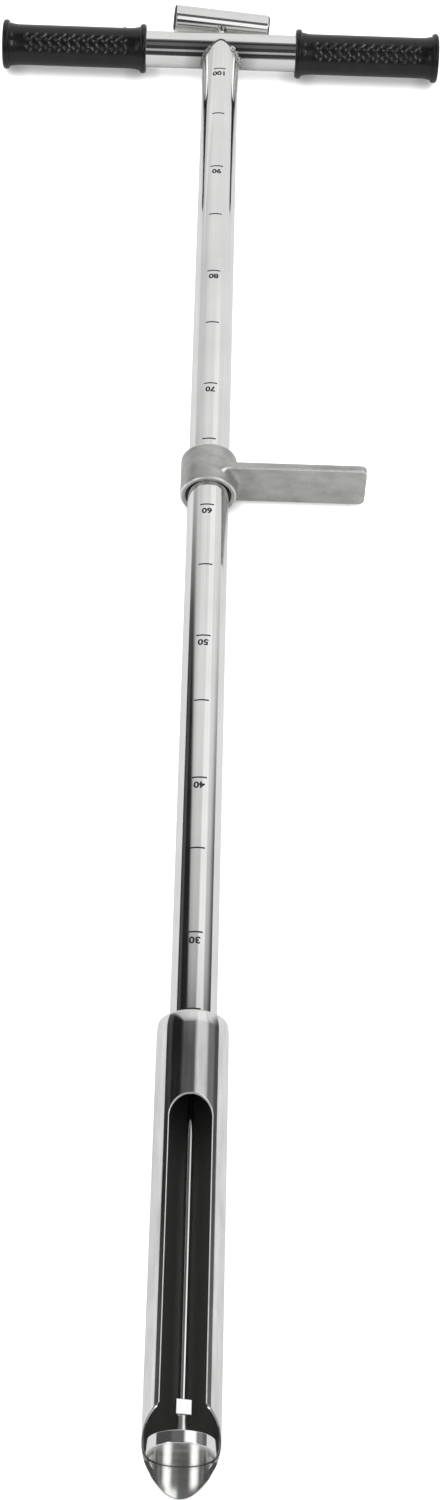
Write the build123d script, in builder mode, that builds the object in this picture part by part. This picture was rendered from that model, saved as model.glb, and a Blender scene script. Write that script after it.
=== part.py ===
from build123d import *
import os
from math import cos, radians, sin, sqrt, tan

# A hand soil sampler lying on its back: slot upwards, handle at the +Y end, foot pedal towards +X.
# All sizes are in millimetres and degrees. A station is a distance from the tip along the shaft.

# Sampling tube
tube_od = 38.0
tube_wall = 2.0
tube_length = 237.0
slot_width = 22.3
slot_top = 196.0
mouth_station = 21.0
mouth_angle = 48.0
nose_length = 16.5
nose_bluntness = 4.8
nose_shoulder = 7.0
tongue_depth = 12.35
tongue_relief = 4.1

# Shoulder plug between tube and shaft
shoulder_length = 7.6
shoulder_crown = 0.6
shoulder_corner = 1.4
lower_spigot = 12.0
upper_spigot = 16.0

# Shaft and crossbar are cut from the same tube stock
shaft_od = 25.0
shaft_wall = 2.0
bar_station = 1028.0
weld_size = 2.4
weld_reach = 55.0

# Rubber grips
handle_span = 307.2
grip_length = 101.0
grip_wall = 1.4
grip_end_wall = 4.0
flange_rise = 3.0
flange_width = 4.6
flange_rim = 1.9
flange_blend = 8.0

# Foot pedal, one casting
pedal_station = 612.5
ring_length = 28.5
ring_play = 1.6
ring_wall = 3.1
ring_edge = 0.9
plate_reach = 96.6
plate_height = 31.0
plate_thickness = 5.0
plate_inset = 10.4
plate_corner = 4.0
plate_blend = 3.5

# Ejector
rod_od = 5.0
piston_station = 15.25
piston_thickness = 6.3
piston_web = 2.5
piston_edge = 0.4
boss_od = 7.4
boss_length = 11.8
nut_width = 8.0
nut_length = 7.6
nut_edge = 0.5
nut_turn = 11.0
toggle_od = 18.2
toggle_length = 68.0
toggle_gap = 9.3
toggle_turn = 5.8
toggle_edge = 0.6
rod_grip_depth = 11.0
toggle_weld = 2.6

# Clearances, each on the radius or between two faces
running_fit = 0.08
seated_fit = 0.05
piston_clearance = 0.3
rest_clearance = 0.3
rod_hole_clearance = 0.3
face_gap = 0.1
weld_gap = 0.03
cutter_margin = 1.0

# Sizes that follow from the ones above
tube_radius = tube_od / 2
tube_bore = tube_radius - tube_wall
shaft_radius = shaft_od / 2
shaft_bore = shaft_radius - shaft_wall
shoulder_top = tube_length + shoulder_length
crown_edge = tube_radius - shoulder_crown
rod_radius = rod_od / 2
toggle_radius = toggle_od / 2
toggle_station = bar_station + shaft_radius + toggle_gap + toggle_radius
overall_length = toggle_station + toggle_radius
bar_length = handle_span - 2 * grip_end_wall
grip_bore = shaft_radius + seated_fit
grip_radius = shaft_radius + grip_wall
flange_radius = grip_radius + flange_rise
ring_bore = shaft_radius + ring_play
ring_radius = ring_bore + ring_wall
ring_drop = ring_play - rest_clearance
pedal_depth = max(ring_radius, plate_height / 2) + ring_drop
axis_height = max(tube_radius, flange_radius, pedal_depth)
ring_height = axis_height - ring_drop
piston_radius = tube_bore - piston_clearance
piston_top = piston_station + piston_thickness
boss_top = piston_top + boss_length
nut_station = boss_top + face_gap
rod_foot = piston_station + piston_web
toggle_foot = toggle_station - toggle_radius
rod_head = toggle_foot + rod_grip_depth


def along(station):
    return station - overall_length / 2


def level_plane(station, height):
    return Plane(origin=(0, along(station), height), x_dir=(1, 0, 0), z_dir=(0, 0, 1))


def cross_plane(station, height):
    return Plane(origin=(0, along(station), height), x_dir=(1, 0, 0), z_dir=(0, -1, 0))


def bar_plane(station, turn=0.0):
    lean = radians(turn)
    return Plane(
        origin=(0, along(station), axis_height),
        x_dir=(0, 1, 0),
        z_dir=(cos(lean), 0, -sin(lean)),
    )


# Turned pieces are drawn as radius against station and revolved about the shaft's axis
turning_plane = level_plane(0, axis_height)
side_plane = Plane(origin=(0, along(0), axis_height), x_dir=(0, 1, 0), z_dir=(1, 0, 0))
shaft_axis = Axis((0, 0, axis_height), (0, 1, 0))
bar_axis = Axis((0, along(bar_station), axis_height), (1, 0, 0))
ring_axis = Axis((0, 0, ring_height), (0, 1, 0))


# Sampling tube: a plain tube, slotted on top, cut slanting at the mouth and rounded to a tongue in plan
slot_round = slot_width / 2
cut_reach = tube_radius + cutter_margin
cut_run = cut_reach / tan(radians(mouth_angle))
tongue_station = mouth_station - tongue_depth / tan(radians(mouth_angle))

with BuildPart() as sampling_tube:
    with BuildSketch(turning_plane):
        with Locations((tube_bore, 0)):
            Rectangle(tube_wall, tube_length, align=(Align.MIN, Align.MIN))
    revolve(axis=shaft_axis)
    with BuildSketch(turning_plane):
        with Locations((0, slot_top - slot_round)):
            Circle(slot_round)
        with Locations((0, mouth_station)):
            Rectangle(
                slot_width,
                slot_top - slot_round - mouth_station,
                align=(Align.CENTER, Align.MIN),
            )
    extrude(amount=cut_reach, mode=Mode.SUBTRACT)
    with BuildSketch(side_plane):
        with BuildLine():
            Polyline(
                (tongue_station, -tongue_depth),
                (mouth_station + cut_run, cut_reach),
                (-cut_reach, cut_reach),
                (-cut_reach, -tongue_relief),
                (tongue_station - tongue_relief, -tongue_relief),
                close=True,
            )
        make_face()
    extrude(amount=cut_reach, both=True, mode=Mode.SUBTRACT)
    with BuildSketch(turning_plane):
        with Locations((0, -cutter_margin)):
            Rectangle(
                2 * cut_reach,
                nose_length + cutter_margin,
                align=(Align.CENTER, Align.MIN),
            )
        with BuildSketch(mode=Mode.SUBTRACT):
            with BuildLine():
                Bezier(
                    (0, 0),
                    (nose_bluntness, 0),
                    (tongue_depth, nose_shoulder),
                    (cut_reach, nose_length),
                )
                Line((cut_reach, nose_length), (0, nose_length))
                mirror(about=Plane.YZ)
            make_face()
    extrude(amount=cut_reach, both=True, mode=Mode.SUBTRACT)


# Shoulder plug: closes the tube, carries the shaft on a spigot and guides the ejector rod
plug_bore = rod_radius + running_fit
lower_spigot_radius = tube_bore - seated_fit
upper_spigot_radius = shaft_bore - seated_fit
plug_foot = tube_length - lower_spigot
plug_head = shoulder_top + upper_spigot

with BuildPart() as shoulder_plug:
    with BuildSketch(turning_plane):
        with BuildLine():
            Polyline(
                (plug_bore, plug_foot),
                (lower_spigot_radius, plug_foot),
                (lower_spigot_radius, tube_length),
                (tube_radius, tube_length),
            )
            TangentArc((tube_radius, tube_length), (crown_edge, shoulder_top), tangent=(0, 1))
            Polyline(
                (crown_edge, shoulder_top),
                (upper_spigot_radius, shoulder_top),
                (upper_spigot_radius, plug_head),
                (plug_bore, plug_head),
                (plug_bore, plug_foot),
            )
        make_face()
        fillet(vertices().sort_by_distance((crown_edge, shoulder_top))[0], shoulder_corner)
    revolve(axis=shaft_axis)


# Shaft tube: its upper end is mitred to sit round the crossbar
with BuildPart() as shaft_tube:
    with BuildSketch(turning_plane):
        with Locations((shaft_bore, shoulder_top)):
            Rectangle(shaft_wall, bar_station - shoulder_top, align=(Align.MIN, Align.MIN))
    revolve(axis=shaft_axis)
    with BuildSketch(bar_plane(bar_station)):
        Circle(shaft_radius + weld_gap)
    extrude(amount=shaft_od, both=True, mode=Mode.SUBTRACT)


# Crossbar: a tube across the shaft's end, drilled for the ejector rod
with BuildPart() as crossbar:
    with BuildSketch(bar_plane(bar_station)):
        Circle(shaft_radius)
        Circle(shaft_bore, mode=Mode.SUBTRACT)
    extrude(amount=bar_length / 2, both=True)
    with BuildSketch(cross_plane(bar_station, axis_height)):
        Circle(rod_radius + rod_hole_clearance)
    extrude(amount=shaft_od, both=True, mode=Mode.SUBTRACT)


# Weld beads: a round bead along each side of the mitre, less the two tubes that it joins
mitre_plane = Plane(
    origin=(0, along(bar_station), axis_height),
    x_dir=(-1, -1, 0),
    z_dir=(-1, 1, 0),
)

with BuildPart() as left_handle_weld:
    with BuildLine(mitre_plane) as mitre_edge:
        EllipticalCenterArc(
            (0, 0),
            sqrt(2) * shaft_radius,
            shaft_radius,
            start_angle=-weld_reach,
            arc_size=2 * weld_reach,
        )
    with BuildSketch(Plane(origin=mitre_edge.line @ 0, z_dir=mitre_edge.line % 0)):
        Circle(weld_size)
    sweep()
    with BuildSketch(bar_plane(bar_station)):
        Circle(shaft_radius)
    extrude(amount=shaft_od, both=True, mode=Mode.SUBTRACT)
    with BuildSketch(cross_plane(bar_station, axis_height)):
        Circle(shaft_radius)
    extrude(amount=shaft_od, both=True, mode=Mode.SUBTRACT)

with BuildPart() as right_handle_weld:
    mirror(left_handle_weld.part, about=Plane.YZ)


# Grips: closed rubber sleeves with a rounded flange at both ends, trumpet-shaped into the body
rim_foot = flange_radius - flange_rim


def flange_outline(face, inward):
    back = face + inward * flange_width
    TangentArc((face, rim_foot), (face + inward * flange_rim, flange_radius), tangent=(0, 1))
    Line((face + inward * flange_rim, flange_radius), (back - inward * flange_rim, flange_radius))
    TangentArc((back - inward * flange_rim, flange_radius), (back, rim_foot), tangent=(inward, 0))
    TangentArc((back + inward * flange_blend, grip_radius), (back, rim_foot), tangent=(-inward, 0))


def rubber_grip(side):
    outer_end = handle_span / 2
    inner_end = outer_end - grip_length
    body_inset = flange_width + flange_blend
    with BuildPart() as grip:
        with BuildSketch(level_plane(bar_station, axis_height)):
            with BuildLine():
                Line((inner_end, grip_bore), (inner_end, rim_foot))
                flange_outline(inner_end, 1)
                Line((inner_end + body_inset, grip_radius), (outer_end - body_inset, grip_radius))
                flange_outline(outer_end, -1)
                Polyline(
                    (outer_end, rim_foot),
                    (outer_end, 0),
                    (outer_end - grip_end_wall, 0),
                    (outer_end - grip_end_wall, grip_bore),
                    (inner_end, grip_bore),
                )
            make_face()
            if side < 0:
                mirror(about=Plane.YZ, mode=Mode.REPLACE)
        revolve(axis=bar_axis)
    return grip.part


# Foot pedal: a loose ring on the shaft with a flat tread plate, cast in one
plate_station = pedal_station + plate_inset
blend_radius = ring_radius + plate_blend
blend_start = plate_inset - plate_blend
plate_back = plate_inset + plate_thickness
blend_end = plate_back + plate_blend

with BuildPart() as foot_pedal:
    # The hollow blend at the plate's root is turned about the ring and trimmed to the plate's outline
    with BuildSketch(level_plane(pedal_station, ring_height)):
        with BuildLine():
            Polyline((0, blend_end), (0, blend_start), (ring_radius, blend_start))
            TangentArc((ring_radius, blend_start), (blend_radius, plate_inset), tangent=(0, 1))
            Line((blend_radius, plate_inset), (blend_radius, plate_back))
            TangentArc((ring_radius, blend_end), (blend_radius, plate_back), tangent=(0, -1))
            Line((ring_radius, blend_end), (0, blend_end))
        make_face()
    revolve(axis=ring_axis)
    with BuildSketch(cross_plane(pedal_station, ring_height)) as plate_outline:
        Rectangle(plate_reach, plate_height, align=(Align.MIN, Align.CENTER))
        fillet(vertices().group_by(Axis.X)[-1], plate_corner)
    extrude(amount=-ring_length, mode=Mode.INTERSECT)
    with BuildSketch(cross_plane(plate_station, ring_height)):
        add(plate_outline.sketch_local)
    extrude(amount=-plate_thickness)
    with BuildSketch(level_plane(pedal_station, ring_height)):
        Rectangle(ring_radius, ring_length, align=(Align.MIN, Align.MIN))
        fillet(vertices().group_by(Axis.X)[-1], ring_edge)
    revolve(axis=ring_axis)
    with BuildSketch(cross_plane(pedal_station, ring_height)):
        Circle(ring_bore)
    extrude(amount=-ring_length, mode=Mode.SUBTRACT)


# Ejector rod: one straight rod from the piston to the toggle bar
with BuildPart() as ejector_rod:
    with BuildSketch(turning_plane):
        with Locations((0, rod_foot)):
            Rectangle(rod_radius, rod_head - rod_foot, align=(Align.MIN, Align.MIN))
    revolve(axis=shaft_axis)


# Toggle bar: the ejector's small cross handle, turned a little about the rod
with BuildPart() as ejector_handle:
    with BuildSketch(bar_plane(toggle_station, toggle_turn)):
        Circle(toggle_radius)
    extrude(amount=toggle_length / 2, both=True)
    chamfer(edges().filter_by(GeomType.CIRCLE), toggle_edge)
    with BuildSketch(cross_plane(rod_head, axis_height)):
        Circle(rod_radius + seated_fit)
    extrude(amount=toggle_od, mode=Mode.SUBTRACT)


# Weld between rod and toggle bar: a conical fillet trimmed to the bar's underside
with BuildPart() as ejector_weld:
    with BuildSketch(turning_plane):
        with BuildLine():
            Polyline(
                (rod_radius + seated_fit, toggle_foot - toggle_weld),
                (rod_radius + toggle_weld, toggle_foot),
                (rod_radius + toggle_weld, toggle_station),
                (rod_radius + seated_fit, toggle_station),
                close=True,
            )
        make_face()
    revolve(axis=shaft_axis)
    with BuildSketch(bar_plane(toggle_station, toggle_turn)):
        Circle(toggle_radius)
    extrude(amount=toggle_length, both=True, mode=Mode.SUBTRACT)


# Piston: a turned disc with a drilled boss
with BuildPart() as ejector_piston:
    with BuildSketch(turning_plane):
        with BuildLine():
            Polyline(
                (0, piston_station),
                (piston_radius, piston_station),
                (piston_radius, piston_top),
                (boss_od / 2, piston_top),
                (boss_od / 2, boss_top),
                (rod_radius + running_fit, boss_top),
                (rod_radius + running_fit, rod_foot - face_gap),
                (0, rod_foot - face_gap),
                close=True,
            )
        make_face()
        chamfer(vertices().group_by(Axis.X)[-1], piston_edge)
    revolve(axis=shaft_axis)


# Square lock nut on the rod above the boss
with BuildPart() as lock_nut:
    with BuildSketch(cross_plane(nut_station, axis_height)):
        RectangleRounded(nut_width, nut_width, nut_edge, rotation=-nut_turn)
        Circle(rod_radius + seated_fit, mode=Mode.SUBTRACT)
    extrude(amount=-nut_length)


pieces = {
    "sampling_tube": sampling_tube.part,
    "shoulder_plug": shoulder_plug.part,
    "shaft_tube": shaft_tube.part,
    "crossbar": crossbar.part,
    "left_handle_weld": left_handle_weld.part,
    "right_handle_weld": right_handle_weld.part,
    "left_grip": rubber_grip(-1),
    "right_grip": rubber_grip(1),
    "foot_pedal": foot_pedal.part,
    "ejector_rod": ejector_rod.part,
    "ejector_handle": ejector_handle.part,
    "ejector_weld": ejector_weld.part,
    "ejector_piston": ejector_piston.part,
    "lock_nut": lock_nut.part,
}

os.makedirs("parts", exist_ok=True)
for name, piece in pieces.items():
    piece.label = name
    export_step(piece, f"parts/{name}.step")
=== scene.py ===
import bmesh
import bpy
import numpy as np
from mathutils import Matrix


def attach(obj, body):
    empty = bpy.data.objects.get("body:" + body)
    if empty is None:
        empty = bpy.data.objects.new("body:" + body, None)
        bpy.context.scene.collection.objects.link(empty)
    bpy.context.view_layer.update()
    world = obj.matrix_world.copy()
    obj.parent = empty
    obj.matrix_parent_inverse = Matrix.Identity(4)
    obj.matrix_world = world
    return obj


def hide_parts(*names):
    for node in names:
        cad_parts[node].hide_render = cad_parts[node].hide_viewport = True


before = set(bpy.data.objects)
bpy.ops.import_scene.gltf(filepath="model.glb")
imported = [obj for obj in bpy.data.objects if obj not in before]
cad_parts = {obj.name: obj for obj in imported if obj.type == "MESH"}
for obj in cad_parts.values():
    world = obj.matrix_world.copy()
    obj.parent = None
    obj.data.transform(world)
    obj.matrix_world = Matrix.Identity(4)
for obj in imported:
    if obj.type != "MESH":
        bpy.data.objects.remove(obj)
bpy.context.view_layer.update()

# Sizes below are in millimetres, stations are measured from the tip along the shaft
mm = 0.001
tipY = -534.0
axisZ = 19.0
rad = np.pi / 180


# small mesh tools
def quadsOf(rows, cols, wrapRows, wrapCols):
    # corner numbers of the quad between each grid point and its next neighbours
    r = np.arange(rows if wrapRows else rows - 1)[:, None]
    c = np.arange(cols if wrapCols else cols - 1)[None, :]
    down, right = (r + 1) % rows, (c + 1) % cols
    return np.stack([r * cols + c, down * cols + c, down * cols + right, r * cols + right], -1)


def grid(points, wrapRows=False, wrapCols=False, finish=0, keep=None):
    # one surface patch: points[row, col] in mm, finish is a material number or one per quad
    quads = quadsOf(points.shape[0], points.shape[1], wrapRows, wrapCols)
    finish = np.broadcast_to(np.asarray(finish), quads.shape[:2])
    keep = np.ones(quads.shape[:2], bool) if keep is None else keep
    return points.reshape(-1, 3) * mm, quads[keep], finish[keep]


def addObject(name, data):
    # new object at the origin, in the scene
    piece = bpy.data.objects.new(name, data)
    bpy.context.scene.collection.objects.link(piece)
    return piece


def makePiece(name, grids, materials, body, nodes=(), sharp=38.0, merge=2e-6):
    # joins the patches at their shared points, closes poles and seams, turns faces outwards
    starts = np.cumsum([0] + [len(g[0]) for g in grids[:-1]])
    points = np.concatenate([g[0] for g in grids])
    quads = np.concatenate([g[1] + s for g, s in zip(grids, starts)])
    finish = np.concatenate([g[2] for g in grids]).astype(np.int32)
    mesh = bpy.data.meshes.new(name)
    mesh.from_pydata(points, [], quads)
    mesh.polygons.foreach_set("material_index", finish)
    shell = bmesh.new()
    shell.from_mesh(mesh)
    bmesh.ops.remove_doubles(shell, verts=shell.verts, dist=merge)
    bmesh.ops.dissolve_degenerate(shell, edges=shell.edges, dist=merge)
    bmesh.ops.recalc_face_normals(shell, faces=shell.faces)
    shell.to_mesh(mesh)
    shell.free()
    mesh.shade_smooth()
    mesh.set_sharp_from_angle(angle=sharp * rad)
    for material in materials:
        mesh.materials.append(material)
    piece = addObject(name, mesh)
    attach(piece, body)
    if nodes:
        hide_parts(*nodes)
    return piece


def fullTurn(sides=144):
    # angles of one whole turn, as a row
    return np.linspace(0, 2 * np.pi, sides, endpoint=False)[None, :]


def onShaft(radius, angle, station, height=axisZ):
    # points at a radius and a station, at an angle about the shaft's axis from its underside
    r, a, s = np.broadcast_arrays(radius, angle, station)
    return np.stack([r * np.sin(a), s + tipY, height - r * np.cos(a)], -1)


def turned(profile, sides=144, height=axisZ):
    # profile of (station, radius) turned about the shaft's axis
    profile = np.asarray(profile, float)
    return onShaft(profile[:, 1:], fullTurn(sides), profile[:, :1], height)


def arc(centre, radius, start, end, count):
    # points of (station, radius) on a circular arc, angles in degrees from the station axis
    a = np.linspace(start, end, count) * rad
    return np.stack([centre[0] + radius * np.cos(a), centre[1] + radius * np.sin(a)], -1)


def held(profile, gap=0.06):
    # adds a point close to both ends of each long straight run, so that the shading of a rounding stays in it
    p = np.asarray(profile, float)
    step = np.diff(p, axis=0)
    length = np.hypot(step[:, 0], step[:, 1])[:, None]
    share = gap / np.maximum(length, gap)
    runs = np.stack([p[:-1], p[:-1] + step * share, p[1:] - step * share], 1)
    keep = np.concatenate([length >= 0, length > 8 * gap, length > 8 * gap], 1)
    return np.concatenate([runs[keep], p[-1:]])


def smooth(low, high, value):
    # eases from 0 at low to 1 at high, level at both ends
    t = np.clip((value - low) / (high - low), 0, 1)
    return t * t * (3 - 2 * t)


# materials
class Graph:
    # a node tree with short ways to add to it
    def __init__(self, tree):
        self.nodes = tree.nodes
        self.links = tree.links

    def add(self, kind, **settings):
        node = self.nodes.new(kind)
        for key, value in settings.items():
            setattr(node, key, value)
        return node

    def sums(self, operation, *values):
        node = self.add("ShaderNodeMath", operation=operation)
        for socket, value in zip(node.inputs, values):
            if isinstance(value, (int, float)):
                socket.default_value = value
            else:
                self.links.new(value, socket)
        return node.outputs[0]


class Finish(Graph):
    # a material with its shader at hand
    def __init__(self, name):
        self.material = bpy.data.materials.new(name)
        self.material.use_nodes = True
        super().__init__(self.material.node_tree)
        self.shader = next(n for n in self.nodes if n.type == "BSDF_PRINCIPLED")

    def place(self, scale=(1, 1, 1), move=(0, 0, 0)):
        coords = self.add("ShaderNodeTexCoord")
        mapping = self.add("ShaderNodeMapping")
        mapping.inputs["Scale"].default_value = scale
        mapping.inputs["Location"].default_value = move
        self.links.new(coords.outputs["Object"], mapping.inputs["Vector"])
        return mapping.outputs["Vector"]

    def axis(self, name):
        # one of the object's coordinates, in metres
        split = self.add("ShaderNodeSeparateXYZ")
        self.links.new(self.place(), split.inputs[0])
        return split.outputs[name]

    def dimmed(self, colour, share):
        # colour times a share of the light
        node = self.add("ShaderNodeVectorMath", operation="SCALE")
        self.links.new(colour, node.inputs[0])
        self.links.new(share, node.inputs["Scale"])
        return node.outputs[0]

    def grain(self, size, detail=3.0, roughness=0.55, move=(0, 0, 0)):
        # noise with so many grains to the metre, one number or X, Y and Z
        node = self.add("ShaderNodeTexNoise")
        node.inputs["Scale"].default_value = 1.0
        node.inputs["Detail"].default_value = detail
        node.inputs["Roughness"].default_value = roughness
        scale = size if isinstance(size, tuple) else (size,) * 3
        self.links.new(self.place(scale, move), node.inputs["Vector"])
        return node.outputs["Fac"]

    def levels(self, value, low, high, fromLow=0.3, fromHigh=0.7):
        # spreads a span of the value, by default the middle of a noise, from low to high
        node = self.add("ShaderNodeMapRange")
        self.links.new(value, node.inputs["Value"])
        node.inputs["From Min"].default_value = fromLow
        node.inputs["From Max"].default_value = fromHigh
        node.inputs["To Min"].default_value = low
        node.inputs["To Max"].default_value = high
        return node.outputs["Result"]

    def colours(self, value, stops):
        node = self.add("ShaderNodeValToRGB")
        while len(node.color_ramp.elements) < len(stops):
            node.color_ramp.elements.new(0.5)
        for element, (place, colour) in zip(node.color_ramp.elements, stops):
            element.position = place
            element.color = (*colour, 1)
        self.links.new(value, node.inputs["Fac"])
        return node.outputs["Color"]

    def bump(self, height, strength, distance):
        node = self.add("ShaderNodeBump")
        node.inputs["Strength"].default_value = strength
        node.inputs["Distance"].default_value = distance
        self.links.new(height, node.inputs["Height"])
        self.links.new(node.outputs["Normal"], self.shader.inputs["Normal"])

    def feed(self, socket, value):
        # a node's output into the shader
        self.links.new(value, self.shader.inputs[socket])

    def fix(self, **values):
        # plain values on the shader
        for key, value in values.items():
            self.shader.inputs[key].default_value = value


polish = {"bright": 0.74, "grime": 0.045, "clouds": 28.0, "stops": (0.12, 0.4),
          "tints": ((0.0, -0.003, -0.008), (0.0, -0.002, -0.006)),      # red, green and blue, grimy and clean
          "haze": 0.07, "hazeStops": (0.15, 0.45), "lapping": (0.012, 0.0002),
          "smudged": (0.8, 1.06), "smudgeMove": (0.4, 0.2, 0.7)}
# where a weld has dulled the crossbar: distance from the shaft's axis, stations, share of the light lost
weldHeat = {"aside": (12.0, 27.0), "along": (1018.0, 1027.0), "loss": 0.5}


def polished(name, lines, gloss=0.05, heat=None, smudge=None):
    # mirror polish: faint lapping lines and clouds multiplied give the tone and the gloss; heat dims it
    # beside a weld, smudge is the grain of handling marks
    finish = Finish(name)
    finish.fix(Metallic=1.0)
    lapping = finish.grain(lines, 4.0)
    mixed = finish.sums("MULTIPLY", lapping, finish.grain(polish["clouds"]))
    grimy, clean = ([polish["bright"] + change + w for w in tint]
                    for change, tint in zip((-polish["grime"], polish["grime"]), polish["tints"]))
    colour = finish.colours(mixed, list(zip(polish["stops"], (grimy, clean))))
    if heat:
        fromShaft = finish.sums("ABSOLUTE", finish.axis("X"))
        aside = finish.levels(fromShaft, heat["loss"], 0.0, *(v * mm for v in heat["aside"]))
        along = finish.levels(finish.axis("Y"), 1.0, 0.0, *((s + tipY) * mm for s in heat["along"]))
        colour = finish.dimmed(colour, finish.sums("SUBTRACT", 1.0, finish.sums("MULTIPLY", aside, along)))
    if smudge:
        marks = finish.grain(smudge, 5.0, 0.6, polish["smudgeMove"])
        colour = finish.dimmed(colour, finish.levels(marks, *polish["smudged"]))
    finish.feed("Base Color", colour)
    finish.feed("Roughness", finish.levels(mixed, gloss, gloss + polish["haze"], *polish["hazeStops"]))
    finish.bump(lapping, *polish["lapping"])
    return finish.material


shaftSteel = polished("polishedShaft", (900, 5, 900))
tubeSteel = polished("polishedTube", (700, 5, 700), gloss=0.06, smudge=(150, 32, 150))
barSteel = polished("polishedBar", (5, 900, 900), heat=weldHeat)
toggleSteel = polished("polishedToggle", (5, 900, 900))
rodSteel = polished("polishedRod", (1400, 9, 1400), gloss=0.07)
turnedSteel = polished("turnedSteel", (500, 1500, 500), gloss=0.04)


lathe = {"rings": 700.0, "clouds": 180.0, "tones": ((0.3, (0.68, 0.677, 0.67)), (0.7, (0.77, 0.767, 0.76))),
         "bump": (0.02, 0.0001)}


def facedFinish(name, low, high):
    # piston's end face and boss: satin from the lathe, fine rings about the shaft's axis
    finish = Finish(name)
    finish.fix(Metallic=1.0)
    rings = finish.add("ShaderNodeTexWave", wave_type="RINGS", rings_direction="Y")
    rings.inputs["Scale"].default_value = lathe["rings"]
    finish.links.new(finish.place(move=(0, 0, -axisZ * mm)), rings.inputs["Vector"])
    cloud = finish.grain(lathe["clouds"], 4.0)
    finish.feed("Base Color", finish.colours(cloud, lathe["tones"]))
    finish.feed("Roughness", finish.levels(cloud, low, high))
    finish.bump(rings.outputs["Fac"], *lathe["bump"])
    return finish.material


# inside of the tube: tones that darken with depth are a painted shade, the stain noise makes them uneven
stainAndShade = {"stations": (13.0, 25.0), "stain": (260, 40, 260), "uneven": 0.12, "metal": (1.0, 0.55),
          "rough": (0.17, 0.42), "stops": (0.1, 1.0), "bump": (0.05, 0.0002),
          "tones": ((0.02, (0.74, 0.737, 0.73)), (0.45, (0.42, 0.417, 0.41)), (1.0, (0.15, 0.148, 0.144)))}


def boreFinish():
    # inside of the tube: satin on the tongue, duller and darker further in, the darkening a painted shade,
    # with uneven stains
    finish = Finish("tubeBore")
    depth = finish.levels(finish.axis("Y"), 0.0, 1.0, *((s + tipY) * mm for s in stainAndShade["stations"]))
    stain = finish.grain(stainAndShade["stain"], 5.0)
    tone = finish.sums("ADD", depth, finish.sums("MULTIPLY", stain, stainAndShade["uneven"]))
    finish.feed("Metallic", finish.levels(tone, *stainAndShade["metal"], *stainAndShade["stops"]))
    finish.feed("Base Color", finish.colours(tone, stainAndShade["tones"]))
    finish.feed("Roughness", finish.levels(tone, *stainAndShade["rough"], *stainAndShade["stops"]))
    finish.bump(stain, *stainAndShade["bump"])
    return finish.material


asWelded = {"ripple": 420.0, "tint": 150.0, "tintMove": (0.3, 0.1, 0), "rough": (0.14, 0.34),
            "bump": (0.35, 0.0004),
            "tones": ((0.34, (0.16, 0.155, 0.145)), (0.5, (0.5, 0.49, 0.46)), (0.7, (0.74, 0.735, 0.72)))}


def weldFinish():
    # as welded: bright crests, straw and grey heat tint in the hollows, fine ripples
    finish = Finish("weldSteel")
    finish.fix(Metallic=1.0)
    ripple = finish.grain(asWelded["ripple"], 5.0, 0.6)
    tint = finish.grain(asWelded["tint"], 2.0, move=asWelded["tintMove"])
    finish.feed("Base Color", finish.colours(tint, asWelded["tones"]))
    finish.feed("Roughness", finish.levels(ripple, *asWelded["rough"]))
    finish.bump(ripple, *asWelded["bump"])
    return finish.material


blasted = {"metal": 0.75, "pits": 1500.0, "smudge": (70, 190, 110), "speckle": 900.0, "speckleShare": 0.25,
           "rough": (0.34, 0.5), "bump": (0.2, 0.0002),
           "tones": ((0.3, (0.33, 0.328, 0.32)), (0.5, (0.45, 0.448, 0.44)), (0.72, (0.56, 0.558, 0.55)))}


def castFinish():
    # blasted casting: satin grey with fine pits, smudges and a slightly cloudy tone
    finish = Finish("castSteel")
    finish.fix(Metallic=blasted["metal"])
    pits = finish.grain(blasted["pits"], 4.0, 0.7)
    smudge = finish.sums("MULTIPLY", finish.grain(blasted["smudge"], 5.0, 0.6), 1 - blasted["speckleShare"])
    speckle = finish.sums("MULTIPLY", finish.grain(blasted["speckle"], 2.0), blasted["speckleShare"])
    finish.feed("Base Color", finish.colours(finish.sums("ADD", smudge, speckle), blasted["tones"]))
    finish.feed("Roughness", finish.levels(pits, *blasted["rough"]))
    finish.bump(pits, *blasted["bump"])
    return finish.material


moulded = {"skin": 1500.0, "dust": 90.0, "bump": (0.05, 0.0002),
           "tones": ((0.3, (0.004, 0.004, 0.0042)), (0.75, (0.011, 0.011, 0.0114)))}


def rubberFinish(name, low, high, shine):
    # moulded rubber: near black, fine leathery skin, duller dust in the hollows
    finish = Finish(name)
    finish.fix(**{"Specular IOR Level": shine})
    skin = finish.grain(moulded["skin"], 3.0, 0.6)
    dust = finish.grain(moulded["dust"], 4.0)
    finish.feed("Base Color", finish.colours(dust, moulded["tones"]))
    finish.feed("Roughness", finish.levels(skin, low, high))
    finish.bump(skin, *moulded["bump"])
    return finish.material


def plainFinish(name, size, dark, pale, rough, detail=4.0, stops=(0.3, 0.7), metal=0.0, shine=0.5, bump=None):
    # one noise sets the tone between dark and pale, the roughness and, where asked for, a fine bump
    finish = Finish(name)
    finish.fix(**{"Metallic": metal, "Specular IOR Level": shine})
    noise = finish.grain(size, detail)
    finish.feed("Base Color", finish.colours(noise, list(zip(stops, (dark, pale)))))
    finish.feed("Roughness", finish.levels(noise, *rough))
    if bump:
        finish.bump(noise, *bump)
    return finish.material


def oxideFinish(name, low, high, metal=0.6, shine=0.5):
    # dark grey-brown oxide of burnt steel; on the tube's rims at the tip, the left weld and the toggle's ends
    # it is painted shade
    dark, pale = (tuple(tone * w for w in (1, 0.97, 0.93)) for tone in (low, high))
    return plainFinish(name, 500.0, dark, pale, rough=(0.4, 0.6), metal=metal, shine=shine)


facedSteel = facedFinish("facedSteel", 0.19, 0.27)
bossSteel = facedFinish("bossSteel", 0.2, 0.27)
tubeBore = boreFinish()
weldSteel = weldFinish()
# dark oxide for the weld's run-out and the piston's rim, and a painted shade on the tube's rims at the tip
oxideAndShade = oxideFinish("oxideAndShade", 0.05, 0.16)
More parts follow.
